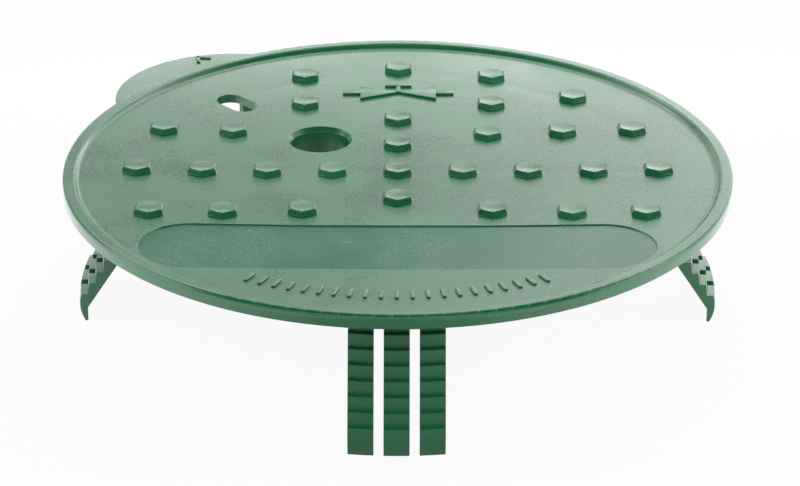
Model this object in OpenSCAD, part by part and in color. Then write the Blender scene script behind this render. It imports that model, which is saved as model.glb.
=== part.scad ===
// Round lid for an irrigation valve box, moulded in one piece of green plastic.
// The plate carries hexagonal grip studs, and four groups of stepped fingers hang
// below it and catch under the mouth of boxes of different sizes.
// Millimetres. The origin is on the lid's axis at the finger tips, +Z is up, and
// the front of the lid, with the label panel, faces -Y.

/* [Plate] */
// Outside diameter of the rim
lid_d = 260; // [250:1:280]
// Thickness of the plate
plate_t = 3.6; // [3:0.1:4.5]
// How much lower the middle of the plate lies than its edge
plate_dish = 1.4; // [0.5:0.1:2.5]
// Radius of the flat middle, from which the plate rises to its edge
flat_r = 58; // [57.5:0.5:62]

/* [Rim] */
// Height of the rim's top above the edge of the plate
rim_h = 2; // [1.2:0.1:3]
// Width of the whole rim, from the outside to the foot of its inner slope
rim_w = 6; // [5:0.1:8]
// Width of the inner slope
rim_slope_w = 2; // [1:0.1:3]
// Radius of the rim's outer top edge
rim_round = 1.2; // [0.6:0.1:1.8]
// Radius of the rim's outer bottom edge
rim_foot_round = 0.5; // [0.2:0.1:1]

/* [Ear] */
// Radius of the lobe that stands out of the rim
ear_r = 46.2; // [42:0.1:48]
// How far the ear reaches out of the rim
ear_reach = 15.1; // [10:0.1:18]
// Height of the ear's top above the edge of the plate
ear_rise = 1; // [0.9:0.05:1.1]
// Direction of the ear, the finger hole and the lock slot
ear_angle = 135; // [125:1:145]

/* [Studs] */
// Step between the rings of studs
stud_pitch = 25.4; // [24:0.1:26]
// Number of rings of studs
stud_rings = 4; // [3:1:4]
// Width of a stud across its flats, at the plate
stud_w = 11.2; // [9:0.1:12]
// Height of a stud above the plate
stud_h = 2; // [1.4:0.1:3]
// How much narrower each side of a stud is at its top
stud_draft = 0.35; // [0.1:0.05:0.6]
// Width of the bevel round a stud's top
stud_bevel = 0.55; // [0.3:0.05:0.9]
// Depth of the hollow in a stud's top
stud_hollow = 0.3; // [0.1:0.05:0.5]

/* [Label panel] */
// Length of the recessed panel
panel_l = 191.5; // [170:0.5:196]
// Width of the recessed panel
panel_w = 38.4; // [34:0.2:42]
// Depth of the recessed panel
panel_depth = 0.5; // [0.3:0.1:1]
// Distance from the lid's axis to the panel's middle
panel_y = 68.2; // [66:0.2:69]
// Width of the bare field that stands in for the raised letters
legend_w = 52; // [40:1:58]
// Height of that field
legend_h = 20; // [12:1:24]
// Distance from the lid's axis to the middle of that field
legend_y = 76; // [72:1:80]

/* [Finger hole] */
// Bore of the finger hole
hole_d = 22.8; // [18:0.2:26]
// Distance from the lid's axis to the finger hole
hole_dist = 44; // [40:0.5:48]
// Width of the slope round the mouth of the finger hole
hole_lead_w = 1.45; // [0.8:0.05:2]
// Depth of that slope
hole_lead_h = 1.75; // [1:0.05:2.4]
// Wall of the collar below the finger hole
collar_wall = 2.4; // [1.6:0.1:4]

/* [Lock slot] */
// Length of the slot
slot_l = 19.2; // [15:0.2:24]
// Width of the slot
slot_w = 11; // [8:0.2:12]
// Distance from the lid's axis to the slot's middle
slot_dist = 93.5; // [90:0.5:98]

/* [Ribs] */
// Depth of the ribs and the collar, from the edge of the plate's top
rib_drop = 14; // [10:0.5:18]
// Thickness of the ribs
rib_t = 2.5; // [1.8:0.1:3.5]
// Diameter of the ring rib, at the middle of its wall
ring_rib_d = 194.4; // [186:0.2:200]

/* [Fingers] */
// Number of finger groups round the lid
group_count = 4; // [2:2:6]
// Number of fingers in a group
fingers_per_group = 3; // [1:1:5]
// Distance between the middles of neighbouring fingers
finger_pitch = 13; // [12:0.1:16]
// Width of a finger
finger_w = 9.4; // [7:0.1:10]
// Drop of the finger tips below the edge of the plate's top
finger_drop = 58; // [52:0.5:66]
// Distance of the outermost tread corner inside the rim's outer face
finger_inset = 5.1; // [3:0.1:8]
// Height of one step
step_rise = 4.76; // [4:0.02:6]
// Run of one step
step_run = 3.1; // [2.6:0.05:3.6]
// How far the foot of each riser stands out past its top
riser_lean = 0.5; // [0:0.05:0.8]
// Horizontal thickness from a tread's corner to the finger's inner face
finger_t = 6.1; // [5:0.1:7]
// Height of the claw below the lowest tread
claw_h = 11.5; // [10:0.1:13]
// Radius of the claw's outer face
claw_r = 14; // [12:0.5:30]
// Thickness of the claw at its tip
tip_t = 1.4; // [1:0.1:2]
// How far the tip lies inside the lowest tread's corner
tip_inset = 0.9; // [0.5:0.1:1.5]

/* [Hidden] */

green = [0.34, 0.52, 0.42];
lid_r = lid_d / 2;
plate_r = lid_r - rim_w;
top_z = finger_drop;
underside_z = top_z - plate_t;
rib_z = top_z - rib_drop;
rib_in_r = ring_rib_d / 2 - rib_t / 2;
rib_out_r = ring_rib_d / 2 + rib_t / 2;

// Height of the plate's top over its edge, at a distance d from the axis
function dish_at(d) = -plate_dish * min(1, (plate_r - d) / (plate_r - flat_r));

round_fn = 96;
ring_fn = 240;
// Straight pieces that the claw's outer face and the round tip are made of
claw_steps = 10;
tip_steps = 6;
// Overlap between shapes that are joined, and overrun of cuts
join = 0.2;
over = 1;

hole_pos = hole_dist * [cos(ear_angle), sin(ear_angle)];
slot_pos = slot_dist * [cos(ear_angle), sin(ear_angle)];
hole_r = hole_d / 2;
collar_r = hole_r + collar_wall;

// Corner of tread number k, counted up from the lowest
corner_r = lid_r - finger_inset;
corner_z = claw_h;
function tread(k) = [corner_r - k * step_run, corner_z + k * step_rise];
step_count = ceil((underside_z - corner_z) / step_rise);

// Middle of the round tip, and of the arc that is the claw's outer face
tip_mid = [corner_r - tip_inset - tip_t / 2, tip_t / 2];
claw_end = [tip_mid[0] + tip_t / 2, tip_mid[1]];
claw_chord = norm(tread(0) - claw_end);
claw_out = [tread(0)[1] - claw_end[1], claw_end[0] - tread(0)[0]] / claw_chord;
claw_mid = (tread(0) + claw_end) / 2
    - claw_out * sqrt(claw_r * claw_r - claw_chord * claw_chord / 4);

function angle_of(v) = atan2(v[1], v[0]);
// Points along an arc in n steps, without its last point
function arc(mid, r, from, to, n) = [
    for (i = [0 : n - 1])
        let (a = from + (to - from) * i / n)
            mid + r * [cos(a), sin(a)]
];

// Room that a stud needs round itself
stud_room = stud_w / 2 + 1;
panel_top = -panel_y + panel_w / 2;

// Whether the place p is clear of the panel, the hole, the slot and the bare field
function clear_of_marks(p) =
    p[1] > panel_top + stud_room
    && norm(p - hole_pos) > hole_r + hole_lead_w + stud_room
    && norm(p - slot_pos) > slot_l / 2 + stud_room
    && (abs(p[0]) > legend_w / 2 || abs(p[1] - legend_y) > legend_h / 2);

function ring_places(ring) = [
    for (i = [0 : 4 * ring - 1])
        let (a = i * 90 / ring, p = ring * stud_pitch * [cos(a), sin(a)])
            if (clear_of_marks(p)) p
];

// Half section of all that lies above the plate's top, lowered by drop
module above_section(drop) {
    polygon([[0, top_z - plate_dish - drop], [flat_r, top_z - plate_dish - drop],
        [plate_r, top_z - drop], [plate_r, top_z + over], [0, top_z + over]]);
}

// Half section of the plate: flat in the middle, then rising to the rim
module plate_section() {
    polygon([[0, underside_z - plate_dish], [flat_r, underside_z - plate_dish],
        [plate_r, underside_z], [plate_r, top_z], [flat_r, top_z - plate_dish],
        [0, top_z - plate_dish]]);
}

// Half section of the rim: flat seat, upright skirt, round outer edge and inner slope
module rim_section() {
    foot_x = lid_r - rim_foot_round;
    round_x = lid_r - rim_round;
    round_z = top_z + rim_h - rim_round;
    inside = dish_at(plate_r - join);
    polygon([[plate_r - join, underside_z + inside], [plate_r, underside_z],
        [foot_x, underside_z], [lid_r, underside_z + rim_foot_round],
        [lid_r, round_z], [round_x, round_z], [round_x, top_z + rim_h],
        [plate_r + rim_slope_w, top_z + rim_h], [plate_r, top_z],
        [plate_r - join, top_z + inside]]);
    translate([round_x, round_z])
        circle(r = rim_round, $fn = round_fn);
}

module plate() {
    rotate_extrude($fn = ring_fn) {
        plate_section();
        rim_section();
    }
}

// Flat lobe at the back left, a little lower than the rim's top
module ear() {
    h = plate_t + ear_rise;
    difference() {
        rotate(ear_angle)
            translate([lid_r + ear_reach - ear_r, 0, underside_z])
                cylinder(r = ear_r, h = h, $fn = ring_fn);
        translate([0, 0, underside_z - over])
            cylinder(r = lid_r - rim_round - join, h = h + 2 * over, $fn = ring_fn);
    }
}

// One pair of a stud's six sides, with the bevel at the top
module stud_sides() {
    sunk = 1;
    half = stud_w / 2;
    top_half = half - stud_draft;
    rotate([90, 0, 0])
        linear_extrude(height = 2 * stud_w, center = true)
            polygon([[-half, -sunk], [half, -sunk], [half, 0],
                [top_half, stud_h - stud_bevel], [top_half - stud_bevel, stud_h],
                [stud_bevel - top_half, stud_h], [-top_half, stud_h - stud_bevel],
                [-half, 0]]);
}

// A hexagonal stud, with corners to the front and back and a hollow top
module stud() {
    rim_of_hollow = stud_w / 2 - stud_draft - stud_bevel;
    hollow_r = (rim_of_hollow * rim_of_hollow + stud_hollow * stud_hollow) / (2 * stud_hollow);
    difference() {
        intersection_for (a = [0, 60, 120])
            rotate(a)
                stud_sides();
        translate([0, 0, stud_h - stud_hollow + hollow_r])
            sphere(r = hollow_r, $fn = round_fn);
    }
}

module studs() {
    for (ring = [0 : stud_rings])
        for (p = ring == 0 ? [[0, 0]] : ring_places(ring))
            translate([p[0], p[1], top_z + dish_at(norm(p))])
                stud();
}

// Shape of a slot with round ends, lying along X
module stadium(l, w) {
    reach = (l - w) / 2;
    translate([-reach, -w / 2])
        square([2 * reach, w]);
    for (side = [-1, 1])
        translate([side * reach, 0])
            circle(d = w, $fn = round_fn);
}

// What the panel takes away: its outline, down to a floor that follows the dish
module panel_cut() {
    intersection() {
        translate([0, -panel_y, top_z - plate_dish - over])
            linear_extrude(height = plate_dish + 2 * over)
                stadium(panel_l, panel_w);
        rotate_extrude($fn = ring_fn)
            above_section(panel_depth);
    }
}

module hole_cut() {
    mouth_z = top_z + dish_at(hole_dist);
    grow = over * hole_lead_w / hole_lead_h;
    translate([hole_pos[0], hole_pos[1], 0]) {
        translate([0, 0, rib_z - over])
            cylinder(r = hole_r, h = rib_drop + 2 * over, $fn = round_fn);
        translate([0, 0, mouth_z - hole_lead_h])
            cylinder(r1 = hole_r, r2 = hole_r + hole_lead_w + grow,
                h = hole_lead_h + over, $fn = round_fn);
    }
}

module slot_cut() {
    translate([slot_pos[0], slot_pos[1], rib_z - over])
        rotate(ear_angle)
            linear_extrude(height = rib_drop + 2 * over)
                stadium(slot_l, slot_w);
}

// Ring rib, the cross inside it and the collar of the finger hole
module ribs() {
    h = underside_z + join - rib_z;
    translate([0, 0, rib_z]) {
        difference() {
            cylinder(r = rib_out_r, h = h, $fn = ring_fn);
            translate([0, 0, -over])
                cylinder(r = rib_in_r, h = h + 2 * over, $fn = ring_fn);
        }
        for (a = [0, 90])
            rotate(a)
                translate([-ring_rib_d / 2, -rib_t / 2, 0])
                    cube([ring_rib_d, rib_t, h]);
        translate([hole_pos[0], hole_pos[1], 0])
            cylinder(r = collar_r, h = h, $fn = round_fn);
    }
}

// Side view of a finger: stepped outer face, curved claw, round tip and straight
// inner face, up to the underside of the plate
module finger_section() {
    inner_x = tip_mid[0] - tip_t / 2;
    bend_z = tread(0)[1] - (inner_x - tread(0)[0] + finger_t) * step_rise / step_run;
    intersection() {
        polygon(concat(
            [tread(step_count) - [finger_t, 0]],
            [for (k = [step_count : -1 : 1]) each [tread(k), tread(k) + [riser_lean, -step_rise]]],
            arc(claw_mid, claw_r, angle_of(tread(0) - claw_mid), angle_of(claw_end - claw_mid),
                claw_steps),
            arc(tip_mid, tip_t / 2, 0, -180, tip_steps),
            [[inner_x, tip_mid[1]], [inner_x, bend_z]]));
        square([lid_r, underside_z + join]);
    }
}

// Fingers side by side, with treads that run round the lid's axis
module finger_group() {
    middle = (fingers_per_group - 1) / 2;
    intersection() {
        rotate_extrude($fn = ring_fn)
            finger_section();
        for (i = [0 : fingers_per_group - 1])
            translate([0, (i - middle) * finger_pitch - finger_w / 2, -over])
                cube([lid_r, finger_w, top_z]);
    }
}

module fingers() {
    for (g = [0 : group_count - 1])
        rotate(g * 360 / group_count)
            finger_group();
}

module lid() {
    color(green)
        difference() {
            union() {
                plate();
                ear();
                ribs();
                fingers();
                studs();
            }
            panel_cut();
            hole_cut();
            slot_cut();
        }
}

lid();
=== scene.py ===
import math

import bmesh
import bpy
from mathutils import Matrix, Vector
from mathutils.bvhtree import BVHTree


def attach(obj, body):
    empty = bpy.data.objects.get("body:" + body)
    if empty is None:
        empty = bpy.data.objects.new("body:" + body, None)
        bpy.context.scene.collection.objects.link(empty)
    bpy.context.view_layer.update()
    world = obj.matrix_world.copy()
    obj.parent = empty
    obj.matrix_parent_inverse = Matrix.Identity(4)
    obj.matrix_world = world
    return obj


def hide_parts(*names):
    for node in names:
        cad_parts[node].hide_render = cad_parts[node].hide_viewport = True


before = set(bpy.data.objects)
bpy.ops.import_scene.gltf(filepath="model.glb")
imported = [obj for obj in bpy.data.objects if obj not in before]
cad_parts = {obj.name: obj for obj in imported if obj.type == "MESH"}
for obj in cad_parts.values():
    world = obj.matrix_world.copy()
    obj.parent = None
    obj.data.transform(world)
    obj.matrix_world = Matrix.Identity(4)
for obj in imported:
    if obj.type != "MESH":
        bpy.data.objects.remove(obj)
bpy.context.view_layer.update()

MM = 0.001

# Sizes repeated from the part's source, in metres
PLATE_EDGE_Z = 58 * MM
PLATE_DISH = 1.4 * MM
PLATE_R = 124 * MM
FLAT_R = 58 * MM
LID_R = 130 * MM
RIM_TOP_Z = 60 * MM
RIM_ROUND = 1.2 * MM
RIM_SLOPE_W = 2 * MM
PANEL_Y = -68.2 * MM
PANEL_HALF_L = 95.75 * MM
PANEL_HALF_W = 19.2 * MM
PANEL_DEPTH = 0.5 * MM
RING_RIB_R = 97.2 * MM
STUD_TOP = 2 * MM
STUD_PITCH = 25.4 * MM
STUD_HOLLOW_R = 37 * MM
EAR_ANGLE = math.radians(135)
EAR_TOP_Z = 59 * MM

# How the rim's edges are shaded
CROWN_FOOT_Z = 57.4 * MM
SLOPE_TILT = math.radians(48)
LAND_TILT = math.radians(5)

# Rounds of the moulding's edges
EDGE_ROUND = 0.2 * MM
RIM_FOOT_ROUND = 1.4 * MM
STRAY_REACH = 0.12 * MM
NEAR = 0.1 * MM

# Raised marks
TICK_COUNT = 21
TICK_R = 109.5 * MM
TICK_FIRST = math.radians(-119)
TICK_LAST = math.radians(-61)
TICK_SIZE = (6.2 * MM, 1.5 * MM, 0.7 * MM)
SIGN_Y = 77 * MM
SIGN_BAR_H = 0.9 * MM
SIGN_TRIANGLE_X = 10.6 * MM
SIGN_TRIANGLE_R = 10 * MM
SIGN_TRIANGLE_DEPTH = 1.3 * MM
SIGN_SQUASH = 0.74
SIGN_PIPE_X = 19.2 * MM
ARROW_AT = Vector((-85, 111)) * MM
ARROW_STROKE = (6.4 * MM, 1.6 * MM, 0.7 * MM)
ARROW_SPREAD = math.radians(38)
ARROW_REACH = -2.4 * MM
MARK_SUNK = 0.4 * MM
GATE_R = 1.5 * MM
GATE_DEPTH = 0.5 * MM
GATE_TOP = 0.18 * MM

# Plastic
DEEP_GREEN = (0.0035, 0.118, 0.042, 1)
PLAIN_GREEN = (0.0060, 0.146, 0.054, 1)
PANEL_GREEN = (0.0035, 0.130, 0.058, 1)
SCUFFED_GREEN = (0.12, 0.24, 0.16, 1)
ROUGHNESS = 0.30
PLAIN_SPECULAR = 0.5
PANEL_SPECULAR = 0.34
PANEL_SMOOTHER = 0.07
PANEL_TINT = 0.8
HANDLING = 0.12
SCUFF_TINT = 0.16
PLASTIC_IOR = 1.53
GRAIN_STRENGTH = 0.15
GRAIN_DEPTH = 0.04 * MM
SINK_DEPTH = 0.04 * MM
SINK_W = 3.5 * MM

# Floor, and its share of plain white to the camera and to reflections
FLOOR_SIZE = 12
FLOOR_Z = -0.05 * MM
PAPER = (0.78, 0.78, 0.78, 1)
FLOOR_SEEN = 0.93
FLOOR_MIRRORED = 0.42

# Lamps: name, place, what it faces, width, height, watts
SOFTBOXES = (
    ("back_right_softbox", (0.68, 1.62, 0.80), (0, 0, 0.05), 1.3, 0.9, 5.0),
    ("near_softbox", (0.50, 0.62, 0.27), (0.1, 0, 0.06), 0.7, 0.18, 1.0),
    ("back_strip", (-0.03, 0.27, 0.125), (-0.03, 0.11, 0.058), 0.45, 0.03, 0.18),
    ("fore_strip", (0.05, 0.25, 0.285), (0, -0.1, 0.06), 0.6, 0.05, 0.2),
    ("front_softbox", (0.0, -1.75, 1.15), (0, 0, 0.05), 2.0, 0.6, 8),
    ("left_softbox", (-1.4, -0.1, 0.45), (0, 0, 0.05), 1.0, 0.8, 10),
    ("right_softbox", (1.4, -0.1, 0.45), (0, 0, 0.05), 1.0, 0.8, 11),
)

# Camera, as fitted to the photograph
SENSOR_MM = 36
FOCAL_PX = 2900.901
FRAME_W_PX = 800
CAMERA_AT = Vector((2.36, -1030.98, 522.67)) * MM
CAMERA_PAN = 0.001367
CAMERA_PITCH = 0.449235
CAMERA_ROLL = 0.001637


def plate_height(x, y):
    """Height of the plate's top at a place, or of the ear's top outside the plate."""
    r = math.hypot(x, y)
    if r > PLATE_R:
        return EAR_TOP_Z
    return PLATE_EDGE_Z - PLATE_DISH * min(1, (PLATE_R - r) / (PLATE_R - FLAT_R))


# ---- helpers for meshes

def deselect_all():
    if bpy.context.mode != "OBJECT":
        bpy.ops.object.mode_set(mode="OBJECT")
    bpy.ops.object.select_all(action="DESELECT")


def make_active(piece):
    deselect_all()
    piece.select_set(True)
    bpy.context.view_layer.objects.active = piece


def named(piece, name):
    """Gives a piece and its mesh one name."""
    piece.name = name
    piece.data.name = name
    return piece


def added(name):
    """Names the primitive that was just added."""
    return named(bpy.context.active_object, name)


def settle(piece):
    """Puts the piece's place, turn and size into its mesh."""
    make_active(piece)
    bpy.ops.object.transform_apply(location=True, rotation=True, scale=True)
    return piece


def apply_modifier(piece, kind, **settings):
    """Adds a modifier with its settings, and applies it."""
    modifier = piece.modifiers.new("step", kind)
    for key, value in settings.items():
        setattr(modifier, key, value)
    make_active(piece)
    bpy.ops.object.modifier_apply(modifier=modifier.name)
    return piece


def round_edges(piece, width):
    """Rounds every edge sharper than 30 degrees."""
    return apply_modifier(piece, "BEVEL", width=width, segments=2, limit_method="ANGLE",
        angle_limit=math.radians(30))


def round_where(piece, width, segments, wanted):
    """Rounds the edges that wanted(middle, angle) picks."""
    mesh = bmesh.new()
    mesh.from_mesh(piece.data)
    weight = mesh.edges.layers.float.get("bevel_weight_edge")
    if weight is None:
        weight = mesh.edges.layers.float.new("bevel_weight_edge")
    for edge in mesh.edges:
        angle = edge.calc_face_angle(0)
        middle = (edge.verts[0].co + edge.verts[1].co) / 2
        edge[weight] = float(wanted(middle, math.degrees(angle)))
    mesh.to_mesh(piece.data)
    mesh.free()
    return apply_modifier(piece, "BEVEL", width=width, segments=segments, limit_method="WEIGHT",
        use_clamp_overlap=False)


def joined(pieces, name):
    """Makes one piece of several."""
    deselect_all()
    for piece in pieces:
        piece.select_set(True)
    bpy.context.view_layer.objects.active = pieces[0]
    bpy.ops.object.join()
    return settle(added(name))


def smooth(piece, angle):
    make_active(piece)
    bpy.ops.object.shade_smooth_by_angle(angle=math.radians(angle))
    return piece


# ---- the lid itself

def moulding_from(cad):
    """A copy of the CAD lid with its triangles merged."""
    piece = cad.copy()
    piece.data = cad.data.copy()
    named(piece, "lid_moulding")
    for collection in cad.users_collection:
        collection.objects.link(piece)
    make_active(piece)
    bpy.ops.object.mode_set(mode="EDIT")
    bpy.ops.mesh.select_all(action="SELECT")
    bpy.ops.mesh.remove_doubles(threshold=0.002 * MM)
    bpy.ops.mesh.dissolve_limited(angle_limit=math.radians(0.05))
    bpy.ops.mesh.dissolve_degenerate(threshold=0.02 * MM)
    bpy.ops.object.mode_set(mode="OBJECT")
    return piece


def keep_to_surface(piece, cad, reach):
    """Brings back the few points that the rounding threw off the CAD surface."""
    surface = BVHTree.FromObject(cad, bpy.context.evaluated_depsgraph_get())
    for vertex in piece.data.vertices:
        nearest, _, _, far = surface.find_nearest(vertex.co)
        if far > reach:
            vertex.co = nearest


def part_skirt(piece):
    """Parts the rim's upright face where its crown ends."""
    make_active(piece)
    bpy.ops.object.mode_set(mode="EDIT")
    mesh = bmesh.from_edit_mesh(piece.data)
    for face in mesh.faces:
        middle = face.calc_center_median()
        upright = abs(face.normal.z) < 0.05
        face.select_set(upright and abs(math.hypot(middle.x, middle.y) - LID_R) < NEAR)
    bmesh.update_edit_mesh(piece.data)
    bpy.ops.mesh.bisect(plane_co=(0, 0, CROWN_FOOT_Z), plane_no=(0, 0, 1))
    bpy.ops.object.mode_set(mode="OBJECT")


def rim_foot(middle, angle):
    """The foot of the rim's inner slope, which has the largest round."""
    at_foot = abs(math.hypot(middle.x, middle.y) - PLATE_R) < NEAR
    return angle > 20 and at_foot and middle.z > PLATE_EDGE_Z - 1 * MM


def other_edges(middle, angle):
    """Every other sharp edge, but none on a stud's top, which has its own bevel."""
    r = math.hypot(middle.x, middle.y)
    on_stud = r < PLATE_R - 2 * MM and middle.z > plate_height(middle.x, middle.y) + 0.6 * MM
    on_round = LID_R - RIM_ROUND - 0.3 * MM < r < LID_R + 0.5 * MM and middle.z > CROWN_FOOT_Z
    return angle > 38 and not on_stud and not on_round and not rim_foot(middle, angle)


def stud_middle(x, y):
    """Middle of the stud that a place is on."""
    ring = round(math.hypot(x, y) / STUD_PITCH)
    if ring == 0:
        return 0.0, 0.0
    step = math.pi / 2 / ring
    turn = round(math.atan2(y, x) / step) * step
    return ring * STUD_PITCH * math.cos(turn), ring * STUD_PITCH * math.sin(turn)


def outward(at, tilt):
    """A normal that leans out from the lid's axis by a tilt, or in where it is negative."""
    r = math.hypot(at.x, at.y)
    return Vector((at.x / r * math.sin(tilt), at.y / r * math.sin(tilt), math.cos(tilt)))


def crown_normal(at):
    """The rim's outer top edge is crowned: narrow across and tall."""
    r = math.hypot(at.x, at.y)
    across = (max(0, r - LID_R + RIM_ROUND) / RIM_ROUND) ** 3 / RIM_ROUND
    up = max(0, at.z - CROWN_FOOT_Z) / (RIM_TOP_Z - CROWN_FOOT_Z) ** 2
    return outward(at, max(LAND_TILT, math.atan2(across, up)))


def slope_normal(at):
    """The rim's inner slope is rounded over at its top and its foot."""
    rise = min(1, max(0, (at.z - PLATE_EDGE_Z) / (RIM_TOP_Z - PLATE_EDGE_Z)))
    return outward(at, -SLOPE_TILT * math.sin(math.pi * rise))


def bowl_normal(bend, middle):
    """A rule for the normals of a shallow bowl about a middle."""
    def rule(at):
        return Vector((-bend * (at.x - middle[0]), -bend * (at.y - middle[1]), 1)).normalized()
    return rule


def normal_rule(face):
    """The rule for a face's normals, or None where they stay as they are."""
    x, y, z = face.center
    r = math.hypot(x, y)
    up = face.normal.z
    on_land = r > PLATE_R + RIM_SLOPE_W and z > RIM_TOP_Z - 0.05 * MM
    on_crown = LID_R - RIM_ROUND < r < LID_R + 0.01 * MM and z > CROWN_FOOT_Z
    if on_land or on_crown:
        return crown_normal
    if PLATE_R - 1 * MM < r < PLATE_R + RIM_SLOPE_W and z > PLATE_EDGE_Z and up < 0.999:
        return slope_normal
    if r > PLATE_R - 1 * MM:
        return None
    rise = z - plate_height(x, y)
    level = up > 0.9995 and face.area > 0.3 * MM * MM
    if level and -PANEL_DEPTH - NEAR < rise < NEAR:
        return bowl_normal(2 * PLATE_DISH / PLATE_R ** 2, (0.0, 0.0))
    if rise > STUD_TOP - 0.5 * MM and 0.9 < up < 0.99999:
        return bowl_normal(1 / STUD_HOLLOW_R, stud_middle(x, y))
    if rise > 0.3 * MM:
        flat = face.normal.copy()
        return lambda at: flat
    return None


def even_shading(piece):
    """Keeps flat faces flat next to rounds, and shades plate, rim and stud hollows by their form."""
    smooth(piece, 32)
    apply_modifier(piece, "WEIGHTED_NORMAL", keep_sharp=True, weight=60)
    mesh = piece.data
    normals = [Vector(corner.vector) for corner in mesh.corner_normals]
    for face in mesh.polygons:
        rule = normal_rule(face)
        if rule is None:
            continue
        for corner in face.loop_indices:
            normals[corner] = rule(mesh.vertices[mesh.loops[corner].vertex_index].co)
    mesh.normals_split_custom_set(normals)


lid_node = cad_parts["lid"]
lid = moulding_from(lid_node)
round_where(lid, EDGE_ROUND, 2, other_edges)
keep_to_surface(lid, lid_node, STRAY_REACH)
round_where(lid, RIM_FOOT_ROUND, 5, rim_foot)
part_skirt(lid)
even_shading(lid)


# ---- raised marks on the plate

def raised_bar(name, length, width, height, at, turn):
    """A low bar that stands on the plate."""
    x, y = at
    z = plate_height(x, y)
    deselect_all()
    bpy.ops.mesh.primitive_cube_add(size=1, location=(x, y, z + (height - MARK_SUNK) / 2))
    bar = added(name)
    bar.scale = (length, width, height + MARK_SUNK)
    bar.rotation_euler = (0, 0, turn)
    return settle(bar)


def front_ticks():
    """A row of short radial bars along the front of the plate."""
    ticks = []
    for i in range(TICK_COUNT):
        a = TICK_FIRST + (TICK_LAST - TICK_FIRST) * i / (TICK_COUNT - 1)
        at = (TICK_R * math.cos(a), TICK_R * math.sin(a))
        ticks.append(raised_bar("tick", *TICK_SIZE, at, a))
    return round_edges(joined(ticks, "front_ticks"), 0.25 * MM)


def valve_sign():
    """The drawing sign for a valve: two triangles point to point, a stem, a handle and two pipe ends."""
    parts = []
    for side in (-1, 1):
        middle = side * SIGN_TRIANGLE_X
        deselect_all()
        bpy.ops.mesh.primitive_cylinder_add(vertices=3, radius=SIGN_TRIANGLE_R, depth=SIGN_TRIANGLE_DEPTH,
            location=(middle, SIGN_Y, plate_height(middle, SIGN_Y) + 0.25 * MM),
            rotation=(0, 0, side * math.pi / 2))
        triangle = added("triangle")
        triangle.scale = (SIGN_SQUASH, 1, 1)
        parts.append(settle(triangle))
        parts.append(raised_bar("pipe_end", 7.4 * MM, 3 * MM, SIGN_BAR_H, (side * SIGN_PIPE_X, SIGN_Y), 0))
    parts.append(raised_bar("stem", 1.8 * MM, 6.4 * MM, SIGN_BAR_H, (0, SIGN_Y + 3.4 * MM), 0))
    parts.append(raised_bar("handle", 11 * MM, 1.9 * MM, SIGN_BAR_H, (0, SIGN_Y + 7.4 * MM), 0))
    return round_edges(joined(parts, "valve_sign"), 0.2 * MM)


def arrow_on_ear():
    """A small raised arrowhead that points out of the ear."""
    parts = []
    for side in (-1, 1):
        turn = EAR_ANGLE + side * ARROW_SPREAD
        middle = ARROW_AT + Vector((math.cos(turn), math.sin(turn))) * ARROW_REACH
        parts.append(raised_bar("stroke", *ARROW_STROKE, tuple(middle), turn))
    return round_edges(joined(parts, "ear_arrow"), 0.25 * MM)


def gate_mark():
    """The trace of the moulding gate in the middle stud's hollow."""
    top = plate_height(0, 0) + STUD_TOP - GATE_TOP
    deselect_all()
    bpy.ops.mesh.primitive_cylinder_add(vertices=40, radius=GATE_R, depth=GATE_DEPTH,
        location=(0, 0, top - GATE_DEPTH / 2))
    mark = settle(added("gate_mark"))
    bpy.ops.object.mode_set(mode="EDIT")
    mesh = bmesh.from_edit_mesh(mark.data)
    for face in mesh.faces:
        face.select_set(face.normal.z > 0.9)
    bmesh.update_edit_mesh(mark.data)
    bpy.ops.mesh.inset(thickness=0.4 * MM)
    bpy.ops.mesh.inset(thickness=0.3 * MM)
    bpy.ops.transform.translate(value=(0, 0, -0.22 * MM))
    bpy.ops.mesh.inset(thickness=0.45 * MM)
    bpy.ops.transform.translate(value=(0, 0, 0.16 * MM))
    bpy.ops.object.mode_set(mode="OBJECT")
    return mark


marks = [front_ticks(), valve_sign(), arrow_on_ear(), gate_mark()]
for mark in marks:
    smooth(mark, 35)


# ---- materials

def new_group(name, inputs, outputs):
    """A shader group of number outputs, with its input and output nodes."""
    group = bpy.data.node_groups.new(name, "ShaderNodeTree")
    for socket, kind in inputs:
        group.interface.new_socket(socket, in_out="INPUT", socket_type="NodeSocket" + kind)
    for socket in outputs:
        group.interface.new_socket(socket, in_out="OUTPUT", socket_type="NodeSocketFloat")
    return group, group.nodes.new("NodeGroupInput"), group.nodes.new("NodeGroupOutput")


def cleared(owner):
    """The empty node tree of a material or world."""
    owner.use_nodes = True
    owner.node_tree.nodes.clear()
    return owner.node_tree


def node(tree, kind, **values):
    """Adds a node. Values named in0, in1 and so on set its inputs, and others its properties."""
    made = tree.nodes.new("ShaderNode" + kind)
    for key, value in values.items():
        if key.startswith("in") and key[2:].isdigit():
            made.inputs[int(key[2:])].default_value = value
        else:
            setattr(made, key, value)
    return made


def split(tree, place):
    """The x, y and z of a place."""
    made = node(tree, "SeparateXYZ")
    tree.links.new(place, made.inputs[0])
    return made.outputs


def calc(tree, operation, a, b=None, clamp=False):
    """A Math node whose inputs are sockets or numbers."""
    made = node(tree, "Math", operation=operation, use_clamp=clamp)
    for i, value in enumerate((a, b)):
        if value is None:
            continue
        if isinstance(value, (int, float)):
            made.inputs[i].default_value = value
        else:
            tree.links.new(value, made.inputs[i])
    return made.outputs[0]


def plus(tree, a, b):
    return calc(tree, "ADD", a, b)


def minus(tree, a, b):
    return calc(tree, "SUBTRACT", a, b)


def times(tree, a, b):
    return calc(tree, "MULTIPLY", a, b)


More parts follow.
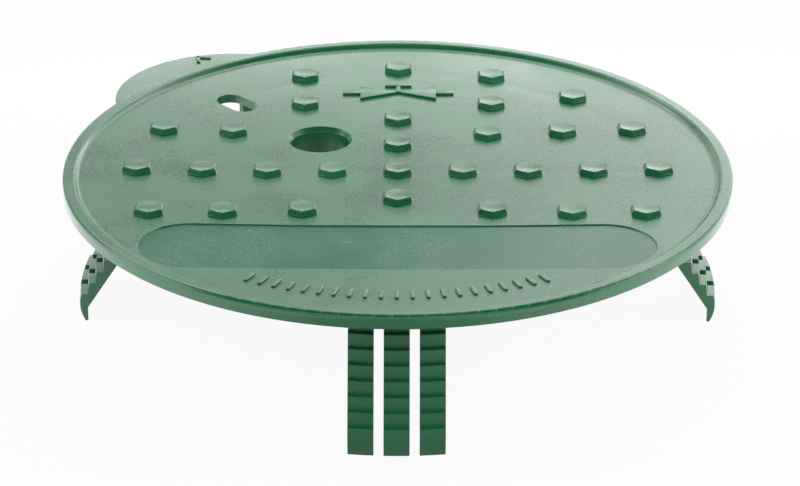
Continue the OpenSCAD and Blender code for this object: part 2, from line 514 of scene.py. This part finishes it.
def ramp(tree, value, low, high, out_low=0.0, out_high=1.0):
    """Follows value from low to high, smoothly, as out_low to out_high."""
    made = node(tree, "MapRange", interpolation_type="SMOOTHSTEP",
        in1=low, in2=high, in3=out_low, in4=out_high)
    tree.links.new(value, made.inputs[0])
    return made.outputs[0]


def noise(tree, where, scale, detail, rough):
    made = node(tree, "TexNoise")
    made.inputs["Scale"].default_value = scale
    made.inputs["Detail"].default_value = detail
    made.inputs["Roughness"].default_value = rough
    tree.links.new(where, made.inputs["Vector"])
    return made.outputs[0]


def mixed(tree, factor, a, b):
    """Mixes two colours, each a socket or a value."""
    made = node(tree, "Mix", data_type="RGBA", blend_type="MIX")
    for i, value in ((0, factor), (6, a), (7, b)):
        if hasattr(value, "links"):
            tree.links.new(value, made.inputs[i])
        else:
            made.inputs[i].default_value = value
    return made.outputs[2]


def bump(tree, height, strength, distance):
    made = node(tree, "Bump")
    made.inputs["Strength"].default_value = strength
    made.inputs["Distance"].default_value = distance
    tree.links.new(height, made.inputs["Height"])
    return made


def panel_zone_group():
    """1 inside the recessed panel, 0 outside, from a place on the lid."""
    group, start, end = new_group("panel_zone", [("Place", "Vector")], ["Inside"])
    x, y, z = split(group, start.outputs[0])
    along = minus(group, calc(group, "ABSOLUTE", x), PANEL_HALF_L - PANEL_HALF_W)
    along = calc(group, "MAXIMUM", along, 0.0)
    across = minus(group, y, PANEL_Y)
    far = plus(group, calc(group, "POWER", along, 2.0), times(group, across, across))
    far = calc(group, "SQRT", far)
    inside = ramp(group, far, PANEL_HALF_W - 0.25 * MM, PANEL_HALF_W + 0.05 * MM, 1.0, 0.0)
    above = ramp(group, z, PLATE_EDGE_Z - 3.0 * MM, PLATE_EDGE_Z - 2.6 * MM)
    group.links.new(times(group, inside, above), end.inputs[0])
    return group


def sink_group():
    """Height of the shallow sink marks above the ring rib and the cross ribs."""
    group, start, end = new_group("sink_marks", [("Place", "Vector")], ["Height"])
    x, y, z = split(group, start.outputs[0])
    r = calc(group, "SQRT", plus(group, times(group, x, x), times(group, y, y)))
    past_ring = minus(group, r, RING_RIB_R)
    nearest = calc(group, "MINIMUM", calc(group, "ABSOLUTE", x), calc(group, "ABSOLUTE", y))
    nearest = calc(group, "MAXIMUM", nearest, past_ring)
    nearest = calc(group, "MINIMUM", nearest, calc(group, "ABSOLUTE", past_ring))
    dip = ramp(group, calc(group, "DIVIDE", nearest, SINK_W), 0.0, 1.6, -1.0, 0.0)
    top = ramp(group, z, PLATE_EDGE_Z - 2.2 * MM, PLATE_EDGE_Z - 1.9 * MM)
    group.links.new(times(group, dip, top), end.inputs[0])
    return group


def moulded_grain_group():
    """Fine surface of moulded plastic: a height, a slow change of shade, how rough it is, and scuffs."""
    group, start, end = new_group("moulded_grain", [("Place", "Vector"), ("Handling", "Float")],
        ["Height", "Shade", "Roughness", "Scuff"])
    place, handling = start.outputs[0], start.outputs[1]
    fine = noise(group, place, 2600, 2.0, 0.6)
    pores = noise(group, place, 900, 3.0, 0.5)
    flow = noise(group, place, 26, 3.0, 0.55)
    cloud = noise(group, place, 9, 2.0, 0.5)
    stretched = node(group, "Mapping")
    stretched.inputs["Rotation"].default_value = (0, 0, math.radians(24))
    stretched.inputs["Scale"].default_value = (30, 900, 60)
    group.links.new(place, stretched.inputs["Vector"])
    lines = noise(group, stretched.outputs[0], 1.0, 4.0, 0.6)
    where = noise(group, place, 38, 2.0, 0.5)
    scuff = times(group, ramp(group, lines, 0.63, 0.74), ramp(group, where, 0.52, 0.7))
    scuff = calc(group, "MULTIPLY", scuff, handling, clamp=True)
    height = plus(group, times(group, fine, 0.4), times(group, pores, 0.6))
    shade = plus(group, times(group, flow, 0.5), times(group, cloud, 0.5))
    rough = plus(group, ramp(group, flow, 0.3, 0.7, -0.04, 0.04), ramp(group, pores, 0.3, 0.7, -0.03, 0.03))
    rough = plus(group, rough, times(group, scuff, 0.12))
    for i, socket in enumerate((height, shade, rough, scuff)):
        group.links.new(socket, end.inputs[i])
    return group


PANEL_ZONE = panel_zone_group()
SINK_MARKS = sink_group()
MOULDED_GRAIN = moulded_grain_group()


def placed_group(tree, group, place):
    made = node(tree, "Group", node_tree=group)
    tree.links.new(place, made.inputs["Place"])
    return made


def lid_plastic(name, with_panel, specular=PLAIN_SPECULAR):
    """Green moulded plastic, with the panel's colour and the sink marks where it is the lid's."""
    material = bpy.data.materials.new(name)
    tree = cleared(material)
    place = node(tree, "TexCoord").outputs["Object"]
    grain = placed_group(tree, MOULDED_GRAIN, place)
    grain.inputs["Handling"].default_value = HANDLING
    colour = mixed(tree, ramp(tree, grain.outputs["Shade"], 0.35, 0.65), DEEP_GREEN, PLAIN_GREEN)
    rough = plus(tree, grain.outputs["Roughness"], ROUGHNESS)
    if with_panel:
        panel = placed_group(tree, PANEL_ZONE, place).outputs[0]
        colour = mixed(tree, times(tree, panel, PANEL_TINT), colour, PANEL_GREEN)
        rough = minus(tree, rough, times(tree, panel, PANEL_SMOOTHER))
    colour = mixed(tree, times(tree, grain.outputs["Scuff"], SCUFF_TINT), colour, SCUFFED_GREEN)
    shader = node(tree, "BsdfPrincipled")
    shader.inputs["IOR"].default_value = PLASTIC_IOR
    shader.inputs["Specular IOR Level"].default_value = specular
    tree.links.new(colour, shader.inputs["Base Color"])
    tree.links.new(rough, shader.inputs["Roughness"])
    normal = bump(tree, grain.outputs["Height"], GRAIN_STRENGTH, GRAIN_DEPTH).outputs[0]
    if with_panel:
        dent = bump(tree, placed_group(tree, SINK_MARKS, place).outputs[0], 1.0, SINK_DEPTH)
        tree.links.new(normal, dent.inputs["Normal"])
        normal = dent.outputs[0]
    tree.links.new(normal, shader.inputs["Normal"])
    out = node(tree, "OutputMaterial")
    tree.links.new(shader.outputs[0], out.inputs["Surface"])
    return material


def dress(piece, material):
    piece.data.materials.clear()
    piece.data.materials.append(material)
    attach(piece, "root")


def on_panel_floor(face):
    """Whether a face of the lid is the floor of the recessed panel."""
    x, y, z = face.center
    along = max(0, abs(x) - PANEL_HALF_L + PANEL_HALF_W)
    inside = math.hypot(along, y - PANEL_Y) < PANEL_HALF_W - NEAR
    depth = plate_height(x, y) - z
    return inside and face.normal.z > 0.999 and 0.5 * PANEL_DEPTH < depth < 1.5 * PANEL_DEPTH


dress(lid, lid_plastic("moulded_green_plastic", True))
lid.data.materials.append(lid_plastic("panel_green_plastic", True, PANEL_SPECULAR))
for face in lid.data.polygons:
    face.material_index = int(on_panel_floor(face))
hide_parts("lid")
mark_plastic = lid_plastic("raised_mark_plastic", False)
for mark in marks:
    dress(mark, mark_plastic)


# ---- floor, light and camera

def light_path(tree):
    """1 for what the camera sees, also through glass, and 1 for reflections."""
    path = node(tree, "LightPath").outputs
    return calc(tree, "MAXIMUM", path["Is Camera Ray"], path["Is Transmission Ray"]), path["Is Glossy Ray"]


def pale_floor():
    """White to the camera but for its shadows. Painted reflection: to reflections, its sides glow up to 5
    times as bright.
    """
    deselect_all()
    bpy.ops.mesh.primitive_plane_add(size=FLOOR_SIZE, location=(0, 0, FLOOR_Z))
    floor = settle(added("floor"))
    material = bpy.data.materials.new("pale_floor")
    tree = cleared(material)
    seen, glossy = light_path(tree)
    sideways = calc(tree, "ABSOLUTE", split(tree, node(tree, "TexCoord").outputs["Object"])[0])
    # Painted reflection: the floor's sides glow up to 5 times as bright, to reflections only
    raised = times(tree, glossy, ramp(tree, sideways, 0.03, 0.2, 0.0, 4.0))
    glow = node(tree, "Emission", in0=(1, 1, 1, 1))
    tree.links.new(plus(tree, 1.0, raised), glow.inputs["Strength"])
    mix = node(tree, "MixShader")
    share = plus(tree, times(tree, seen, FLOOR_SEEN), times(tree, glossy, FLOOR_MIRRORED))
    tree.links.new(share, mix.inputs[0])
    tree.links.new(node(tree, "BsdfDiffuse", in0=PAPER).outputs[0], mix.inputs[1])
    tree.links.new(glow.outputs[0], mix.inputs[2])
    tree.links.new(mix.outputs[0], node(tree, "OutputMaterial").inputs["Surface"])
    floor.data.materials.append(material)


def studio_world():
    """White to the camera. Light falls from above, and reflections see a pale backdrop and a pale front."""
    world = bpy.data.worlds.new("studio")
    bpy.context.scene.world = world
    tree = cleared(world)
    seen, glossy = light_path(tree)
    _, ahead, up = split(tree, node(tree, "TexCoord").outputs["Generated"])
    pale = times(tree, ramp(tree, up, 0.48, 0.64, 0.55, 4.2), ramp(tree, up, 0.68, 0.84, 1.0, 0.0))
    backdrop = times(tree, pale, ramp(tree, ahead, -0.2, 0.5))
    low = times(tree, ramp(tree, up, 0.1, 0.25), ramp(tree, up, 0.45, 0.6, 1.0, 0.0))
    front = times(tree, low, ramp(tree, ahead, -0.8, -0.5, 1.6, 0.0))
    from_above = ramp(tree, up, 0.3, 0.8, 0.0, 0.6)
    light = plus(tree, times(tree, glossy, plus(tree, backdrop, front)),
        times(tree, minus(tree, 1.0, glossy), from_above))
    light = plus(tree, seen, times(tree, minus(tree, 1.0, seen), light))
    sky = node(tree, "Background", in0=(1, 1, 1, 1))
    tree.links.new(light, sky.inputs[1])
    tree.links.new(sky.outputs[0], node(tree, "OutputWorld").inputs["Surface"])


def softbox(name, at, target, width, height, power):
    data = bpy.data.lights.new(name, "AREA")
    data.shape = "RECTANGLE"
    data.size = width
    data.size_y = height
    data.energy = power
    lamp = bpy.data.objects.new(name, data)
    lamp.location = at
    lamp.rotation_euler = (Vector(target) - Vector(at)).to_track_quat("-Z", "Y").to_euler()
    bpy.context.collection.objects.link(lamp)


def photo_camera():
    data = bpy.data.cameras.new("camera")
    data.sensor_width = SENSOR_MM
    data.lens = SENSOR_MM * FOCAL_PX / FRAME_W_PX
    data.clip_start = 0.05
    data.clip_end = 30
    camera = bpy.data.objects.new("camera", data)
    camera.matrix_world = (
        Matrix.Translation(CAMERA_AT)
        @ Matrix.Rotation(CAMERA_PAN, 4, "Z")
        @ Matrix.Rotation(math.pi / 2 - CAMERA_PITCH, 4, "X")
        @ Matrix.Rotation(CAMERA_ROLL, 4, "Z")
    )
    bpy.context.collection.objects.link(camera)
    bpy.context.scene.camera = camera


pale_floor()
studio_world()
for box in SOFTBOXES:
    softbox(*box)
photo_camera()
bpy.context.scene.view_settings.view_transform = "Standard"
